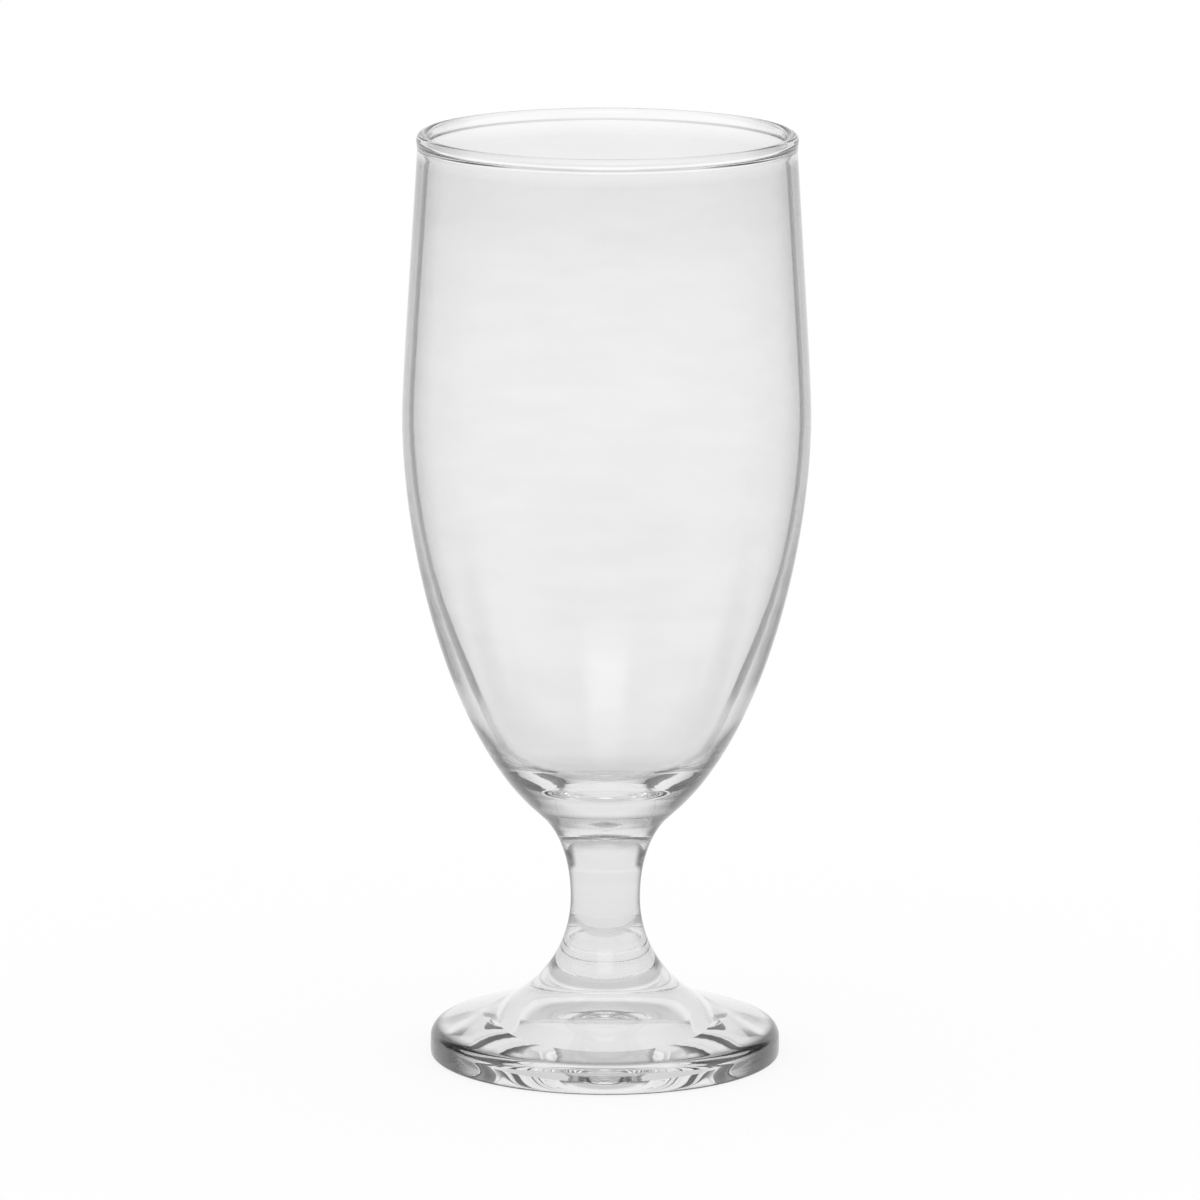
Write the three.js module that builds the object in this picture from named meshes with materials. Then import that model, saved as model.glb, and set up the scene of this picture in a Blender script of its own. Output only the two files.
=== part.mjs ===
// A clear glass goblet: a tall bowl on a short waisted stem and a round foot.
// Millimetres, +Z up. The origin is on the table, under the middle of the foot.
// The three pieces are welded hot, so each meets the next on a flat round face.
import * as THREE from 'three';

// Foot, from the table up to its weld with the stem, with a domed recess underneath
const FOOT_RADIUS = 34.2;
const FOOT_HEIGHT = 17.5;
const FOOT_SLOPE = 18.5 * Math.PI / 180;
const EDGE_HEIGHT = 3.55;
const EDGE_ROUND = 2.6;
const BASE_ROUND = 0.8;
const RECESS_RADIUS = 19;
const RECESS_DEPTH = 7;

// Stem, from the foot's weld up to the bowl's weld
const STEM_LENGTH = 30.5;
const WAIST_RADIUS = 6.8;
const WAIST_RISE = 13.8;
const NECK_RADIUS = 12.7;
const NECK_SLOPE = 40 * Math.PI / 180;

// Bowl, from its weld with the stem up to the rim
const BOWL_HEIGHT = 134;
const BASE_THICKNESS = 6.2;
const CORNER_WALL = 2.6;
const CORNER_SHARE = 0.26;
const BELLY_RADIUS = 39.6;
const BELLY_RISE = 79;
const BELLY_WALL = 1.3;
const RIM_RADIUS = 36.8;
const RIM_WALL = 1.5;
const BEAD_THICKNESS = 2.5;
const BEAD_HEIGHT = 3;
const BEAD_PROUD = 0.15;

// Fullness of each curve: the share of its span that keeps to the direction of its start or end
const NECK_HOLD = [0.53, 0.185];
const LOWER_WALL_HOLD = [0.28, 0.31];
const UPPER_WALL_HOLD = [0.15, 0.05];
const CAVITY_HOLD = [0.2, 0.44];
const CAVITY_FLOOR_HOLD = [0.35, 0.5];
const BEAD_HOLD = [0.4, 0.4];

// Facets round the axis, and steps along the curves of the outlines
const TURNS = 48;
const WALL_STEPS = 12;
const FLARE_STEPS = 10;
const NECK_STEPS = 8;
const ROUND_STEPS = 6;
const BEAD_STEPS = 4;

const UP = new THREE.Vector2(0, 1);
const DOWN = new THREE.Vector2(0, -1);
const INWARD = new THREE.Vector2(-1, 0);

// A point of an outline: distance from the axis, height
function at(radius, height) {
  return new THREE.Vector2(radius, height);
}

// A smooth curve that leaves one point and reaches the next in the given directions
function curve(start, leaving, end, arriving, [startHold, endHold]) {
  const span = start.distanceTo(end);
  const startHandle = start.clone().addScaledVector(leaving, startHold * span);
  const endHandle = end.clone().addScaledVector(arriving, -endHold * span);
  return new THREE.CubicBezierCurve(start, startHandle, endHandle, end);
}

// The same curve as a stretch of outline
function sweep(start, leaving, end, arriving, holds, steps) {
  return curve(start, leaving, end, arriving, holds).getPoints(steps);
}

// A round stretch of outline about a centre, from one angle to another
function round(centre, radius, from, to, steps) {
  const clockwise = to < from;
  return new THREE.EllipseCurve(centre.x, centre.y, radius, radius, from, to, clockwise).getPoints(steps);
}

// Joins stretches into one outline and leaves out the points that two stretches share
function outline(...stretches) {
  const same = 1e-6;
  return stretches.flat().filter((point, i, all) => i === 0 || point.distanceTo(all[i - 1]) > same);
}

function turned(name, profile, glass) {
  const geometry = new THREE.LatheGeometry(profile, TURNS);
  geometry.rotateX(Math.PI / 2);
  const mesh = new THREE.Mesh(geometry, glass);
  mesh.name = name;
  return mesh;
}

function clearGlass(colour) {
  return new THREE.MeshStandardMaterial({
    color: colour, roughness: 0.04, metalness: 0, transparent: true, opacity: 0.35,
  });
}

// The flare is one arc, shared by foot and stem: it leaves the slope of the foot without a corner
// and turns upright at the waist. Heights here are from the table.
function flareArc() {
  const edgeCentre = at(FOOT_RADIUS - EDGE_ROUND, EDGE_HEIGHT);
  const slopeEnd = at(
    edgeCentre.x + EDGE_ROUND * Math.sin(FOOT_SLOPE),
    edgeCentre.y + EDGE_ROUND * Math.cos(FOOT_SLOPE),
  );
  const waistHeight = FOOT_HEIGHT + WAIST_RISE;
  const across = (WAIST_RADIUS - slopeEnd.x) * Math.sin(FOOT_SLOPE);
  const above = (waistHeight - slopeEnd.y) * Math.cos(FOOT_SLOPE);
  const radius = (across + above) / (1 - Math.sin(FOOT_SLOPE));
  const centre = at(WAIST_RADIUS + radius, waistHeight);
  const weldAngle = Math.PI + Math.asin(WAIST_RISE / radius);
  return { edgeCentre, centre, radius, slopeAngle: 1.5 * Math.PI - FOOT_SLOPE, weldAngle };
}

function foot() {
  const { edgeCentre, centre, radius, slopeAngle, weldAngle } = flareArc();
  const recessRound = (RECESS_RADIUS ** 2 + RECESS_DEPTH ** 2) / (2 * RECESS_DEPTH);
  const recessCentre = at(0, RECESS_DEPTH - recessRound);
  const recessAngle = Math.asin(RECESS_RADIUS / recessRound);
  const baseCentre = at(FOOT_RADIUS - BASE_ROUND, BASE_ROUND);
  const profile = outline(
    round(recessCentre, recessRound, Math.PI / 2, Math.PI / 2 - recessAngle, ROUND_STEPS),
    round(baseCentre, BASE_ROUND, -Math.PI / 2, 0, BEAD_STEPS),
    round(edgeCentre, EDGE_ROUND, 0, Math.PI / 2 - FOOT_SLOPE, ROUND_STEPS),
    round(centre, radius, slopeAngle, weldAngle, FLARE_STEPS),
    [at(0, FOOT_HEIGHT)],
  );
  return turned('foot', profile, clearGlass(0xeef1f0));
}

// Heights in the stem's outline are from its weld with the foot
function stem() {
  const { centre, radius, weldAngle } = flareArc();
  const stemCentre = at(centre.x, WAIST_RISE);
  const neck = at(NECK_RADIUS, STEM_LENGTH);
  const waist = at(WAIST_RADIUS, WAIST_RISE);
  const profile = outline(
    [at(0, 0)],
    round(stemCentre, radius, weldAngle, Math.PI, NECK_STEPS),
    sweep(waist, UP, neck, neckDirection(), NECK_HOLD, FLARE_STEPS),
    [at(0, STEM_LENGTH)],
  );
  return turned('stem', profile, clearGlass(0xf2f4f3));
}

// The direction in which the outline crosses the weld between stem and bowl
function neckDirection() {
  return at(Math.cos(NECK_SLOPE), Math.sin(NECK_SLOPE));
}

// Heights in the bowl's outline are from its weld with the stem. The cavity's wall comes down beside
// the outer wall, and its floor turns in from the corner, where it is still parallel to the outside.
function bowl() {
  const neck = at(NECK_RADIUS, 0);
  const belly = at(BELLY_RADIUS, BELLY_RISE);
  const shoulder = at(RIM_RADIUS - BEAD_PROUD, BOWL_HEIGHT - BEAD_HEIGHT);
  const beadRound = BEAD_THICKNESS / 2;
  const beadCentre = at(RIM_RADIUS - beadRound, BOWL_HEIGHT - beadRound);
  const beadOutside = at(RIM_RADIUS, beadCentre.y);
  const beadInside = at(RIM_RADIUS - BEAD_THICKNESS, beadCentre.y);
  const innerShoulder = at(shoulder.x - RIM_WALL, shoulder.y);
  const innerBelly = at(BELLY_RADIUS - BELLY_WALL, BELLY_RISE);
  const lowerWall = curve(neck, neckDirection(), belly, UP, LOWER_WALL_HOLD);
  const rising = lowerWall.getTangent(CORNER_SHARE);
  const falling = rising.clone().negate();
  const inwards = at(-rising.y, rising.x);
  const corner = lowerWall.getPoint(CORNER_SHARE).addScaledVector(inwards, CORNER_WALL);
  const cavityFloor = at(0, BASE_THICKNESS);
  const profile = outline(
    [at(0, 0)],
    lowerWall.getPoints(WALL_STEPS),
    sweep(belly, UP, shoulder, UP, UPPER_WALL_HOLD, WALL_STEPS),
    sweep(shoulder, UP, beadOutside, UP, BEAD_HOLD, BEAD_STEPS),
    round(beadCentre, beadRound, 0, Math.PI, ROUND_STEPS),
    sweep(beadInside, DOWN, innerShoulder, DOWN, BEAD_HOLD, BEAD_STEPS),
    sweep(innerShoulder, DOWN, innerBelly, DOWN, [...UPPER_WALL_HOLD].reverse(), WALL_STEPS),
    sweep(innerBelly, DOWN, corner, falling, CAVITY_HOLD, WALL_STEPS),
    sweep(corner, falling, cavityFloor, INWARD, CAVITY_FLOOR_HOLD, NECK_STEPS),
  );
  return turned('bowl', profile, clearGlass(0xf4f6f5));
}

// The stem stands on the foot, and the bowl stands on the stem
const goblet = new THREE.Group();
goblet.add(foot());
const onFoot = new THREE.Group();
onFoot.position.z = FOOT_HEIGHT;
onFoot.add(stem());
goblet.add(onFoot);
const onStem = new THREE.Group();
onStem.position.z = STEM_LENGTH;
onStem.add(bowl());
onFoot.add(onStem);

export default goblet;
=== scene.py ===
# %% [markdown]
# # A clear glass water goblet
# The goblet is three gobs of clear glass, welded hot: a blown bowl, a short drawn stem and a
# pressed foot. Glass has hardly any colour of its own. What we see is the room, bent and mirrored,
# so this lesson spends its care on smooth surfaces and on the light around them.
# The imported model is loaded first. It gives the true size and place of every piece, so heights on
# the glass are counted from the model's welds, its rim and the edge of its foot.

# %% Load the frame
import math

import bpy
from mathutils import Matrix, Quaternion, Vector


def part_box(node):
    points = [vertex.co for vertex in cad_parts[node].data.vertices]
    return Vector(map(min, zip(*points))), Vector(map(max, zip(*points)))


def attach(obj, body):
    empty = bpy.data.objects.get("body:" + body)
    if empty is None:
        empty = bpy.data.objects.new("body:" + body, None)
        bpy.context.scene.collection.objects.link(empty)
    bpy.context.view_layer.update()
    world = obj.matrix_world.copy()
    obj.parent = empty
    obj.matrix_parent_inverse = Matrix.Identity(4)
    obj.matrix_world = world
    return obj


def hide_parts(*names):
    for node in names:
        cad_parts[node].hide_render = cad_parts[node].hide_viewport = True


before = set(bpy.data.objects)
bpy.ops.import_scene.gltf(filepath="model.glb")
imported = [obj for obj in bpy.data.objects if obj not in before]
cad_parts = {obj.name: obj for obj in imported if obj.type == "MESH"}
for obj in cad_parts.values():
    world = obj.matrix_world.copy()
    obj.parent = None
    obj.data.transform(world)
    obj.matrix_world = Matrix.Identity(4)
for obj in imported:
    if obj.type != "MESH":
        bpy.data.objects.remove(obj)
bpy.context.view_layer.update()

foot_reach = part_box("foot")[1].x
foot_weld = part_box("foot")[1].z
bowl_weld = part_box("bowl")[0].z
rim_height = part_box("bowl")[1].z
print("pieces:", sorted(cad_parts))
print("foot reaches", round(foot_reach, 4), "m from the axis")
print("welds at", round(foot_weld, 4), "and", round(bowl_weld, 4), "m, rim at", round(rim_height, 4), "m")

# %% [markdown]
# ## One section through the whole goblet
# A lathe-turned shape is known by its outline. The solids are faceted, and facets show at once in
# glass. Subdivision would round them, but it would also pull the thin wall in. So the outline is
# taken from the solids and turned again with many more steps. The three solids are copied and
# joined, the doubled discs at the welds are removed, and a cut through the axis leaves the closed
# outline. Joining first lets the outline run smoothly across both welds.

# %% Cut the outline
# Points and faces nearer than this, in metres, are taken to touch
TOUCH = 1e-6
# The upward part of a face's normal above which the face is level
LEVEL_NORMAL = 0.999


def edit(piece):
    """Makes one piece active, alone, and opens it in edit mode with everything selected."""
    bpy.ops.object.select_all(action="DESELECT")
    bpy.context.view_layer.objects.active = piece
    piece.select_set(True)
    bpy.ops.object.mode_set(mode="EDIT")
    bpy.ops.mesh.select_all(action="SELECT")


def leave_edit():
    bpy.ops.object.mode_set(mode="OBJECT")


def pick_faces(piece, test):
    """Selects only the faces that pass the test, in edit mode."""
    bpy.ops.mesh.select_mode(type="FACE")
    bpy.ops.mesh.select_all(action="DESELECT")
    leave_edit()
    for face in piece.data.polygons:
        face.select = test(face)
    bpy.ops.object.mode_set(mode="EDIT")


def joined_copy(names):
    """The named solids copied into one new object, which keeps nothing of their own objects."""
    bpy.ops.object.select_all(action="DESELECT")
    for name in names:
        copy = bpy.data.objects.new("outline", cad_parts[name].data.copy())
        copy.data.materials.clear()
        bpy.context.scene.collection.objects.link(copy)
        copy.select_set(True)
        bpy.context.view_layer.objects.active = copy
    bpy.ops.object.join()
    return bpy.context.object


def is_weld(face):
    """True for a level face at the height of a weld."""
    off_weld = min(abs(face.center.z - foot_weld), abs(face.center.z - bowl_weld))
    return abs(face.normal.z) > LEVEL_NORMAL and off_weld < TOUCH


outline = joined_copy(["bowl", "stem", "foot"])
edit(outline)
bpy.ops.mesh.remove_doubles(threshold=TOUCH)
pick_faces(outline, is_weld)
bpy.ops.mesh.delete(type="FACE")
bpy.ops.mesh.select_all(action="SELECT")
bpy.ops.mesh.bisect(plane_co=(0, 0, 0), plane_no=(0, 1, 0), threshold=TOUCH,
                    clear_inner=True, clear_outer=True)
leave_edit()
print("outline of", len(outline.data.vertices), "points")

# %% [markdown]
# ## Smooth the outline
# The points sit on the true curve, but straight lines join them. Turned into a Bezier curve with
# automatic handles, the outline bends softly through each point. A few points are real corners,
# where the recess under the foot meets the flat ring that the goblet stands on. They get vector
# handles, so that the ring stays flat. The closed outline crosses the axis twice, which makes the
# bottom of the bowl level there. Then half of it is cut away, ready for the lathe.

# %% Round the outline off
OUTLINE_STEPS = 4


def on_table(point):
    return point.co.z < TOUCH


bpy.ops.object.convert(target="CURVE")
bpy.ops.object.mode_set(mode="EDIT")
bpy.ops.curve.select_all(action="SELECT")
bpy.ops.curve.spline_type_set(type="BEZIER")
bpy.ops.curve.handle_type_set(type="AUTOMATIC")
leave_edit()
for point in outline.data.splines[0].bezier_points:
    if on_table(point):
        point.handle_left_type = "VECTOR"
        point.handle_right_type = "VECTOR"
outline.data.resolution_u = OUTLINE_STEPS
bpy.ops.object.convert(target="MESH")
edit(outline)
bpy.ops.mesh.bisect(plane_co=(0, 0, 0), plane_no=(1, 0, 0), threshold=TOUCH, clear_inner=True)
leave_edit()
print("half outline of", len(outline.data.vertices), "points, reach",
      round(max(vertex.co.x for vertex in outline.data.vertices), 5), "m")

# %% [markdown]
# ## Turn the glass
# A glassmaker keeps the hot gob turning, and that is what makes it round. Spin is Blender's lathe.
# A Screw modifier would do the same, but Spin is done at once. A full turn leaves a seam and
# two poles with doubled points, so doubles are merged, and then the faces are made to point
# outwards. The result is one closed skin.

# %% Spin the outline
TURN_STEPS = 144

edit(outline)
bpy.ops.mesh.spin(steps=TURN_STEPS, angle=2 * math.pi, center=(0, 0, 0), axis=(0, 0, 1))
bpy.ops.mesh.select_all(action="SELECT")
bpy.ops.mesh.remove_doubles(threshold=TOUCH)
bpy.ops.mesh.normals_make_consistent(inside=False)
leave_edit()
skin = outline
print("skin of", len(skin.data.polygons), "faces")

# %% [markdown]
# ## Shader maths in plain Python
# A finish is a tree of nodes. It could be drawn by hand in the Shader Editor, but written out it can
# be read like a formula. The small class below wraps a socket, so that sums are written as sums
# and each one adds its own Math node. Every other kind of node comes from one method.

# %% A socket that can do sums


class Wire:
    """A socket in a node tree. Sums of wires and numbers add Math nodes, and add() adds any node."""

    def __init__(self, tree, socket=None):
        self.tree = tree
        self.socket = socket

    def add(self, kind, settings, inputs, output=0):
        """Adds a node: first its settings, then its inputs by name or number. Gives one output."""
        node = self.tree.nodes.new(kind)
        for name, value in settings.items():
            setattr(node, name, value)
        for key, value in inputs.items():
            if isinstance(value, Wire):
                self.tree.links.new(value.socket, node.inputs[key])
            else:
                node.inputs[key].default_value = value
        return Wire(self.tree, node.outputs[output]) if node.outputs else None

    def maths(self, operation, first, second=0.0):
        return self.add("ShaderNodeMath", {"operation": operation}, {0: first, 1: second})

    def __add__(self, other):
        return self.maths("ADD", self, other)

    def __sub__(self, other):
        return self.maths("SUBTRACT", self, other)

    def __rsub__(self, other):
        return self.maths("SUBTRACT", other, self)

    def __mul__(self, other):
        return self.maths("MULTIPLY", self, other)

    def __truediv__(self, other):
        return self.maths("DIVIDE", self, other)

    def __rtruediv__(self, other):
        return self.maths("DIVIDE", other, self)

    def __pow__(self, other):
        return self.maths("POWER", self, other)

    def __rpow__(self, other):
        return self.maths("POWER", other, self)

    __radd__ = __add__
    __rmul__ = __mul__


print("sums on wires: + - * / **")

# %% [markdown]
# ## Tint
# Soda glass swallows a little light. The solid foot and stem swallow more than the thin wall of the bowl.
# Absorption in the volume could show this, but noise in it takes long to settle. A tint on the surface is
# quick and easy to steer, so the part of the light that passes follows the height. The darker band under
# the rim is painted shade, and the lighter flame-polished bead of the rim is a painted highlight.

# %% Tint by height
# Height in metres, and the part of the light that passes there, with painted shade under the rim and a
# painted highlight on its bead
TINT_WITH_PAINTED_LIGHT_BY_HEIGHT = (
    (0.0, 0.88),
    (foot_weld - 0.0015, 0.86),
    (foot_weld + 0.0125, 0.76),
    (bowl_weld - 0.002, 0.8),
    (bowl_weld + 0.012, 0.9),
    (bowl_weld + 0.027, 0.925),
    (rim_height - 0.042, 0.925),
    (rim_height - 0.022, 0.905),
    (rim_height - 0.012, 0.87),
    (rim_height - 0.0055, 0.87),
    (rim_height - 0.0025, 0.98),
)


def graded(wire, value, steps):
    """Joins (value, result) steps with straight ramps, and adds the ramps up."""
    result = steps[0][1]
    for (start, first), (end, last) in zip(steps, steps[1:]):
        limits = {"Value": value, "From Min": start, "From Max": end, "To Min": 0.0, "To Max": last - first}
        result = result + wire.add("ShaderNodeMapRange", {}, limits)
    return result


passing = [part for height, part in TINT_WITH_PAINTED_LIGHT_BY_HEIGHT]
print("tint passes", min(passing), "to", max(passing), "of the light")

# %% [markdown]
# ## Dark edges
# A goblet on white has a dark line round each edge, where the glass bends and mirrors the dark room beside
# it. The room's cards give a part of that line, and the rest is painted shade. Layer Weight knows how far a
# face is turned away, so it darkens the tint there: in a narrow line on the wall of the cavity, and in a
# wider one outside. Low in the bowl the wall is thicker, so its painted line starts sooner, and the solid
# base has a second painted line outside. On the cavity's floor, on the foot and on the rim's bead only a
# share is left.

# %% Dark edges
# The mark of the faces that look into the bowl
CAVITY = "cavity"
# How much painted shade darkens a face, and how far it is turned away at the start and the end of that
CAVITY_PAINTED_LINE = (0.92, 0.76, 0.81)
OUTER_PAINTED_LINE = (0.55, 0.45, 0.8)
BASE_PAINTED_LINE = (0.35, 0.42, 0.6)
# Stem and bowl also get painted shade slowly, by this much and along this power of the turn
SLOW_PAINTED_SHADE = 0.35
SLOW_POWER = 2.0
# Heights between which the painted lines grow, from the foot to the stem and from the cavity's floor to its
# wall, or fade, at the rim's bead, and the share of them that is left at the foot, floor and bead
STEM_START = (foot_weld - 0.0055, foot_weld + 0.0125)
WALL_START = (bowl_weld + 0.018, bowl_weld + 0.026)
BEAD_START = (rim_height - 0.005, rim_height - 0.0025)
FOOT_SHARE = 0.1
FLOOR_SHARE = 0.25
BEAD_SHARE = 0.3
# Heights between which the bowl's solid base begins and ends
BASE_START = (bowl_weld + 0.002, bowl_weld + 0.005)
BASE_END = (bowl_weld + 0.016, bowl_weld + 0.022)
# The wall gets thinner between these heights, and below them its painted line starts this much sooner
THIN_WALL = (bowl_weld + 0.024, bowl_weld + 0.052)
THICK_WALL_GAIN = 0.1


def eased(wire, value, start, end, first=0.0, last=1.0):
    """A value that goes softly from first to last while the given one goes from start to end."""
    limits = {"Value": value, "From Min": start, "From Max": end, "To Min": first, "To Max": last}
    return wire.add("ShaderNodeMapRange", {"interpolation_type": "SMOOTHSTEP"}, limits)


def band(wire, value, begin, end, before=0.0, after=0.0):
    """1 in a band that begins and ends softly, with other shares before and after it."""
    return eased(wire, value, *begin, before, 1.0) * eased(wire, value, *end, 1.0, after)


# Painted shade that grows as a face turns away
def edge(wire, turned, dark, start, end):
    return dark * eased(wire, turned, start, end)


def painted_edge_shade(wire, z, turned):
    """How much painted shade at the edges takes from the tint."""
    inside = wire.add("ShaderNodeAttribute", {"attribute_name": CAVITY}, {}, "Fac")
    sooner = turned + eased(wire, z, *THIN_WALL, THICK_WALL_GAIN, 0.0)
    cavity_painted_line = eased(wire, z, *WALL_START, FLOOR_SHARE) * edge(wire, sooner, *CAVITY_PAINTED_LINE)
    base_painted_line = band(wire, z, BASE_START, BASE_END) * edge(wire, turned, *BASE_PAINTED_LINE)
    outer_painted_line = edge(wire, turned, *OUTER_PAINTED_LINE) + base_painted_line
    lines = inside * cavity_painted_line + (1.0 - inside) * outer_painted_line
    # Slow painted shade towards the edges of stem and bowl
    slow_painted_shade = SLOW_PAINTED_SHADE * eased(wire, z, *STEM_START) * turned ** SLOW_POWER
    return band(wire, z, STEM_START, BEAD_START, FOOT_SHARE, BEAD_SHARE) * lines + slow_painted_shade


print("lines full from", round(STEM_START[1], 4), "to", round(BEAD_START[0], 4), "m")

# %% [markdown]
# ## The edge of the foot
# The pressed foot has a thick rounded edge. It bends light so steeply that it looks grey all round, much
# wider than the line on the bowl. That grey is painted shade in the tint, kept to the outermost few
# millimetres, and below the slope of the foot.

# %% Edge of the foot
# How much painted shade darkens the foot's edge, and how far a face is turned away at its start and end
FOOT_PAINTED_EDGE = (0.85, 0.15, 0.5)
# Distances from the axis, and heights above the table, between which the edge begins or ends
FOOT_RIM = (foot_reach - 0.003, foot_reach - 0.001)
FOOT_TOP = (0.006, 0.008)


def from_axis(wire, x, y):
    return wire.maths("SQRT", x * x + y * y)


def painted_foot_edge(wire, x, y, z, turned):
    """How much painted shade on the foot's rounded edge takes from the tint."""
    rounding = eased(wire, from_axis(wire, x, y), *FOOT_RIM) * eased(wire, z, *FOOT_TOP, 1.0, 0.0)
    return rounding * edge(wire, turned, *FOOT_PAINTED_EDGE)


print("foot's edge starts", round(FOOT_RIM[0], 4), "m from the axis")

# %% [markdown]
# ## Cords
# Blown glass is never quite even. Cords, which are streaks of slightly different glass, run round it.
# Painted streaks would look drawn, so noise is stretched sideways instead. The tint wavers with it, partly
# for the cords and partly as painted reflection, the faint wisps that a room leaves in glass, and the
# surface rolls by a hair.

# %% Cords in the glass
# Features in a metre, and how many of them fit along x, y and z compared with that
CORD_SIZE = 140.0
CORD_STRETCH = (0.4, 0.4, 1.5)
CORD_DETAIL = 3.0
CORD_MIDDLE = 0.5
# How far the tint wavers, for the cords and as painted reflection
CORD_AND_REFLECTION_TINT = 0.06
# How far the surface rolls, in metres
ROLL_HEIGHT = 0.00001


def cord_noise(wire, place):
    stretched = wire.add("ShaderNodeMapping", {}, {"Vector": place, "Scale": CORD_STRETCH})
    noise = {"Vector": stretched, "Scale": CORD_SIZE, "Detail": CORD_DETAIL, "Roughness": 0.5}
    return wire.add("ShaderNodeTexNoise", {}, noise)


print("cords about", round(1000 / (CORD_SIZE * CORD_STRETCH[2]), 1), "mm high")

# %% [markdown]
# ## Clear glass
# Soda glass bends light by an index near 1.5, and flame polish leaves it almost without roughness.
# The Glass shader would do, but the Principled shader with full transmission is the one that other programs
# can read. Its colour is the tint, less the painted shade at the edges.

# %% Mix the glass
GLASS_INDEX = 1.5
DARKEST_TINT = 0.02
POLISH = 0.004


def new_finish(name):
    """An empty material and the wire that adds nodes to it."""
    finish = bpy.data.materials.new(name)
    finish.use_nodes = True
    finish.node_tree.nodes.clear()
    return finish, Wire(finish.node_tree)


def parts(wire, vector):
    """The three numbers of a vector, each as a wire."""
    return [wire.add("ShaderNodeSeparateXYZ", {}, {0: vector}, axis) for axis in "XYZ"]


def clear_glass():
    finish, wire = new_finish("goblet_glass")
    place = wire.add("ShaderNodeTexCoord", {}, {}, "Object")
    x, y, z = parts(wire, place)
    cords = cord_noise(wire, place)
    turned = wire.add("ShaderNodeLayerWeight", {}, {"Blend": 0.5}, "Facing")
    # The tint holds painted shade and a painted highlight by height, and painted reflection in the cords;
    # the painted edge shade is taken off next
    tint_with_painted_shade = graded(wire, z, TINT_WITH_PAINTED_LIGHT_BY_HEIGHT) + CORD_AND_REFLECTION_TINT * (cords - CORD_MIDDLE)
    tint_with_painted_shade = tint_with_painted_shade - painted_edge_shade(wire, z, turned) - painted_foot_edge(wire, x, y, z, turned)
    rolls = {"Height": cords, "Strength": 1.0, "Distance": ROLL_HEIGHT}
    rolling = wire.add("ShaderNodeBump", {}, rolls)
    glass = wire.add("ShaderNodeBsdfPrincipled", {}, {
        "Base Color": wire.maths("MAXIMUM", tint_with_painted_shade, DARKEST_TINT),
        "Roughness": POLISH * cords,
        "IOR": GLASS_INDEX,
        "Transmission Weight": 1.0,
        "Normal": rolling,
    })
    wire.add("ShaderNodeOutputMaterial", {}, {"Surface": glass})
    return finish


glass_finish = clear_glass()
print(glass_finish.name, "has", len(glass_finish.node_tree.nodes), "nodes")

# %% [markdown]
# ## Welds that nobody sees
# Hot glass runs together, so no surface is left at a weld. Each piece still has to be closed there.
# Its disc gets a finish with no cover at all, and light goes on as through one body.

# %% Hide the welds


def hidden_weld():
    finish, wire = new_finish("hidden_weld")
    unseen = wire.add("ShaderNodeBsdfPrincipled", {}, {"Alpha": 0.0})
    wire.add("ShaderNodeOutputMaterial", {}, {"Surface": unseen})
    return finish


weld_finish = hidden_weld()
print("finish of the weld discs:", weld_finish.name)

# %% [markdown]
# ## Part the skin at the welds
# Bowl, stem and foot could each be turned by themselves, but then their outlines would bend apart at
# the welds. Cut from the one smooth skin at the height of its weld and closed there by a flat disc,
# each piece fits the next. Each stands for its own solid. The discs take the weld's finish, and
# shading stays smooth except at true corners.

# %% Cut bowl, stem and foot
CORNER_ANGLE = math.radians(35)


def close_cut():
    """Fills the open ring that a cut has left with one flat face."""
    bpy.ops.mesh.select_mode(type="EDGE")
    bpy.ops.mesh.select_all(action="DESELECT")
    bpy.ops.mesh.select_non_manifold()
    bpy.ops.mesh.edge_face_add()


def glass_piece(node, name, low=None, high=None):
    """The skin between two heights as a closed piece that stands for a solid."""
    piece = bpy.data.objects.new(name, skin.data.copy())
    bpy.context.scene.collection.objects.link(piece)
    for finish in (glass_finish, weld_finish):
        piece.data.materials.append(finish)
    edit(piece)
    for height, below in ((low, True), (high, False)):
        if height is None:
            continue
        bpy.ops.mesh.select_all(action="SELECT")
        bpy.ops.mesh.bisect(plane_co=(0, 0, height), plane_no=(0, 0, 1), threshold=TOUCH,
                            clear_inner=below, clear_outer=not below)
        close_cut()
    bpy.ops.mesh.select_all(action="SELECT")
    bpy.ops.mesh.normals_make_consistent(inside=False)
    leave_edit()
    for face in piece.data.polygons:
        face.material_index = 1 if is_weld(face) else 0
    bpy.ops.object.shade_smooth_by_angle(angle=CORNER_ANGLE)
    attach(piece, "root")
    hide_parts(node)
    triangles = sum(len(face.vertices) - 2 for face in piece.data.polygons)
    print(name, "has", triangles, "triangles")
    return piece


bowl = glass_piece("bowl", "bowl_glass", low=bowl_weld)
glass_piece("stem", "stem_glass", low=foot_weld, high=bowl_weld)
glass_piece("foot", "foot_glass", high=foot_weld)
bpy.data.objects.remove(skin)

# %% [markdown]
# ## Mark the cavity
# The painted dark line is narrower inside the bowl than outside. A second material could make the
# difference, but it would repeat all the nodes. So each face of the bowl carries a number instead, 1 where
# it looks towards the axis, and the one glass reads it.

# %% Mark the inside of the bowl


def is_inside(face):
    return face.normal.x * face.center.x + face.normal.y * face.center.y < 0.0


mark = bowl.data.attributes.new(CAVITY, "FLOAT", "FACE")
for face in bowl.data.polygons:
    mark.data[face.index].value = 1.0 if is_inside(face) else 0.0
print(sum(is_inside(face) for face in bowl.data.polygons), "faces look into the bowl")

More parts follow.
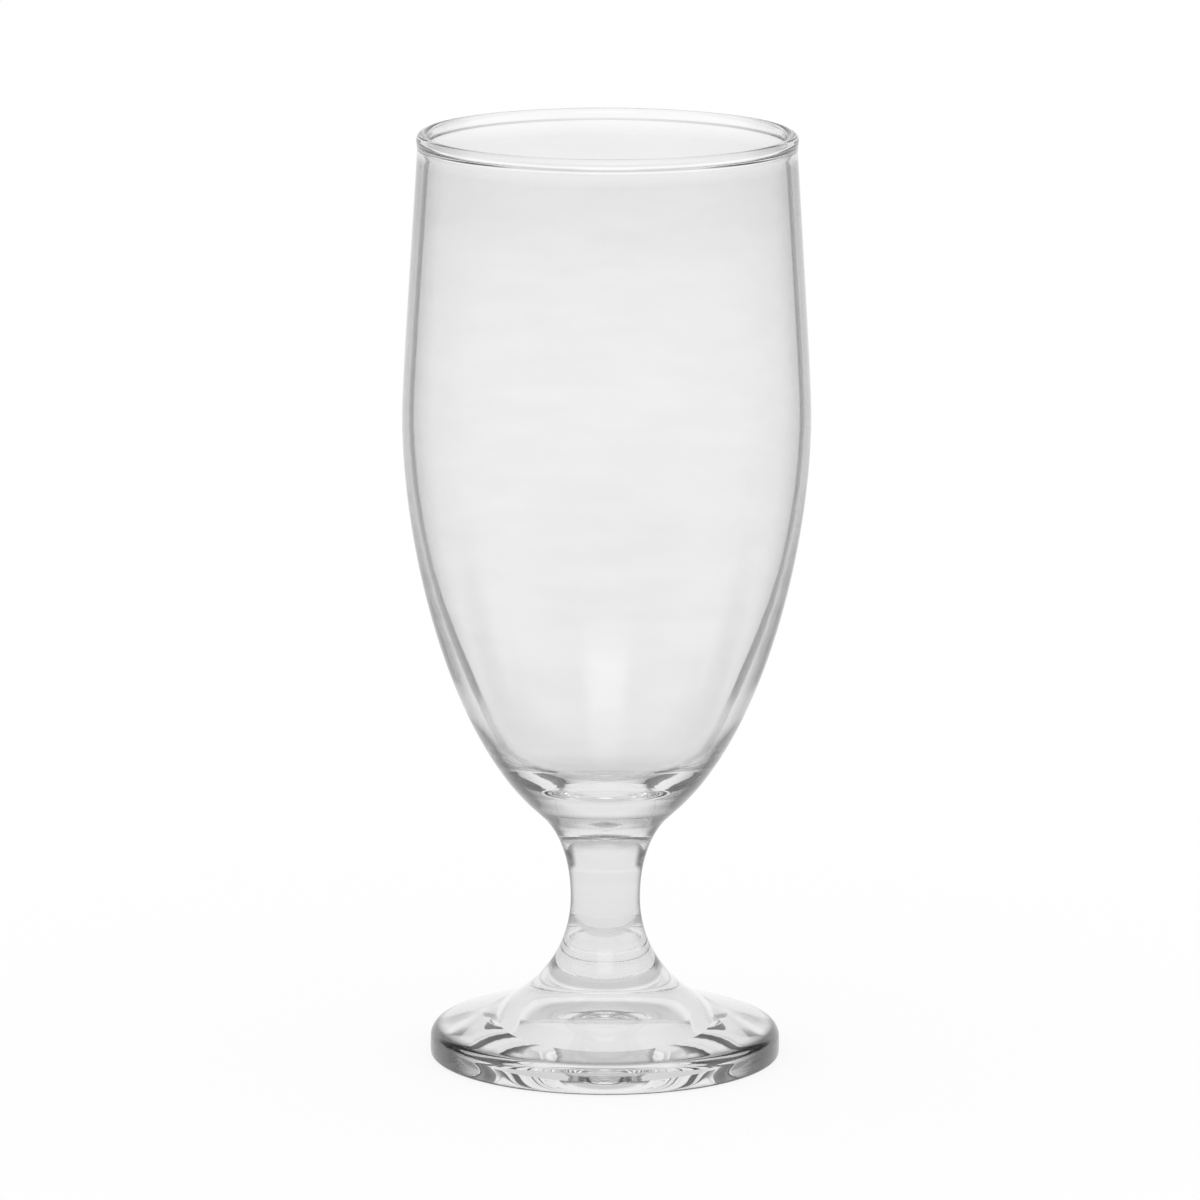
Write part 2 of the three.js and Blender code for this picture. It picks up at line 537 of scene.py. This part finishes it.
# %% [markdown]
# ## The room
# Glass on white is lit from behind, and its dark lines are the dark things beside it, such as the
# black cards that photographers put there. Planes and lamps could stand in for them. Written into the
# world by direction, they have soft edges and are never in the way. The camera sees a plain white
# room. Light that the glass bends or mirrors sees the cards too: two upright pairs beside the
# goblet, the dimmer room behind the camera, and one soft lamp up there.

# %% Room with cards
WHITE = (1.0, 1.0, 1.0, 1.0)
# Height above the horizon in degrees, and the brightness of the room there
ROOM_BY_HEIGHT = ((-5, 1.0), (13, 1.0), (26, 0.7), (40, 0.7), (55, 0.75), (90, 0.9))
# Cards: directions and half width in degrees from straight ahead, darkness, the heights between
# which a card begins and ends in degrees, and what is left of it above its end
ROOM_CARDS = (
    ((59, -59), 26, 0.85, (2, 7), (30, 60), 0.9),
    ((77, -77), 22, 0.8, (16, 22), (45, 60), 0.3),
    ((180,), 75, 0.4, (2, 7), (18, 38), 0.8),
)
# The lamp: its direction and half width, the heights between which it begins and ends in degrees,
# and its extra brightness
ROOM_LAMP = (180, 28, (26, 36), (48, 58), 1.5)
# The part of a card's half width that has its full strength
FULL_WIDTH = 0.25


def level(degrees):
    """The upward part of a ray that climbs at this angle."""
    return math.sin(math.radians(degrees))


def spread(degrees):
    """The part along a direction of a ray that is this far off it."""
    return math.cos(math.radians(degrees))


def levels(heights):
    return [level(height) for height in heights]


def beside(wire, x, y, side, half):
    """1 in a card's direction, and softly 0 at half its width to either side."""
    along = (level(side) * x + spread(side) * y) / wire.maths("MAXIMUM", from_axis(wire, x, y), TOUCH)
    return eased(wire, along, spread(half), spread(FULL_WIDTH * half))


def room_light(wire):
    ray = wire.add("ShaderNodeTexCoord", {}, {}, "Generated")
    x, y, z = parts(wire, ray)
    light = graded(wire, z, [(level(height), value) for height, value in ROOM_BY_HEIGHT])
    for sides, half, dark, begin, end, rest in ROOM_CARDS:
        for side in sides:
            upright = band(wire, z, levels(begin), levels(end), after=rest)
            light = light * (1.0 - dark * upright * beside(wire, x, y, side, half))
    side, half, begin, end, extra = ROOM_LAMP
    upright = band(wire, z, levels(begin), levels(end))
    return light + extra * upright * beside(wire, x, y, side, half)


def white_room():
    room = bpy.data.worlds.new("room")
    room.use_nodes = True
    room.node_tree.nodes.clear()
    wire = Wire(room.node_tree)
    by_glass = wire.add("ShaderNodeLightPath", {}, {}, "Is Glossy Ray")
    plain = wire.add("ShaderNodeBackground", {}, {"Color": WHITE})
    carded = wire.add("ShaderNodeBackground", {}, {"Color": room_light(wire)})
    mixed = wire.add("ShaderNodeMixShader", {}, {0: by_glass, 1: plain, 2: carded})
    wire.add("ShaderNodeOutputWorld", {}, {"Surface": mixed})
    return room


bpy.context.scene.world = white_room()
print("room with", sum(len(card[0]) for card in ROOM_CARDS), "cards and a lamp")

# %% [markdown]
# ## The floor
# The goblet stands on white paper that runs out of sight. A curved backdrop would do, but here a wide flat
# floor meets a room that is just as white. To the camera the floor glows, with a little plain paper left in
# it, so that the foot still casts a faint shadow. Seen through the glass, the floor has a painted shadow:
# it is a touch darker near the foot, where the goblet keeps light off it.

# %% Floor
FLOOR_SIZE = 120.0
FLOOR_DROP = 0.0001
FLOOR_GLOW = 0.85
# Distance from the goblet's axis in metres, and the brightness of the floor there, seen by the glass, with
# the goblet's painted shadow near the foot
FLOOR_BY_REACH = ((0.0, 0.95), (0.03, 0.9), (0.06, 0.95), (0.1, 1.0))


def floor_with_painted_shadow(wire):
    place = wire.add("ShaderNodeTexCoord", {}, {}, "Object")
    x, y = parts(wire, place)[:2]
    return graded(wire, from_axis(wire, x, y), FLOOR_BY_REACH)


def floor_finish():
    finish, wire = new_finish("floor_white")
    direct = wire.add("ShaderNodeLightPath", {}, {}, "Is Camera Ray")
    by_glass = wire.add("ShaderNodeLightPath", {}, {}, "Is Glossy Ray")
    paper = wire.add("ShaderNodeBsdfDiffuse", {}, {"Color": WHITE})
    plain = wire.add("ShaderNodeEmission", {}, {"Color": WHITE})
    shaded = wire.add("ShaderNodeEmission", {}, {"Color": floor_with_painted_shadow(wire)})
    seen = wire.add("ShaderNodeMixShader", {}, {0: FLOOR_GLOW * direct, 1: paper, 2: plain})
    mixed = wire.add("ShaderNodeMixShader", {}, {0: by_glass, 1: seen, 2: shaded})
    wire.add("ShaderNodeOutputMaterial", {}, {"Surface": mixed})
    return finish


bpy.ops.object.select_all(action="DESELECT")
bpy.ops.mesh.primitive_plane_add(size=FLOOR_SIZE, location=(0, 0, -FLOOR_DROP))
floor = bpy.context.object
bpy.ops.object.transform_apply(location=True, rotation=True, scale=True)
floor.name = "floor"
floor.data.materials.append(floor_finish())
print("floor of", FLOOR_SIZE, "m")

# %% [markdown]
# ## The camera
# A camera could be moved by eye until the picture fits. Here the outline in the photograph was
# measured, and it fits a long lens about 1.6 m away that looks down by about 11 degrees. The goblet
# stands a hair to the right of the middle and leans a sixth of a degree with the camera.

# %% Place the camera
CAMERA_AWAY = 1.611
CAMERA_HEIGHT = 0.4094
CAMERA_AIM = Vector((-0.0012, 0.0, 0.0905))
CAMERA_LENS = 253.58
CAMERA_ROLL = math.radians(0.16)
SENSOR_WIDTH = 36.0

bpy.ops.object.camera_add(location=(0, -CAMERA_AWAY, CAMERA_HEIGHT))
camera = bpy.context.object
towards = (CAMERA_AIM - camera.location).to_track_quat("-Z", "Y")
camera.rotation_euler = (towards @ Quaternion((0, 0, 1), CAMERA_ROLL)).to_euler()
camera.data.sensor_width = SENSOR_WIDTH
camera.data.lens = CAMERA_LENS
camera.data.clip_end = FLOOR_SIZE
bpy.context.scene.camera = camera
print("lens", CAMERA_LENS, "mm,", round((camera.location - CAMERA_AIM).length, 3), "m from the goblet")

# %% [markdown]
# ## Let the light through
# Light crosses many faces inside thick glass before it gets out. Cycles stops a path after a dozen
# bounces and shows black there, so the paths may be longer here. The Standard view keeps white
# paper white.

# %% Set the light paths
LIGHT_BOUNCES = 32

scene = bpy.context.scene
scene.view_settings.view_transform = "Standard"
scene.cycles.max_bounces = LIGHT_BOUNCES
scene.cycles.transmission_bounces = LIGHT_BOUNCES
scene.cycles.glossy_bounces = LIGHT_BOUNCES
scene.cycles.transparent_max_bounces = 2 * LIGHT_BOUNCES
print("up to", LIGHT_BOUNCES, "bounces")
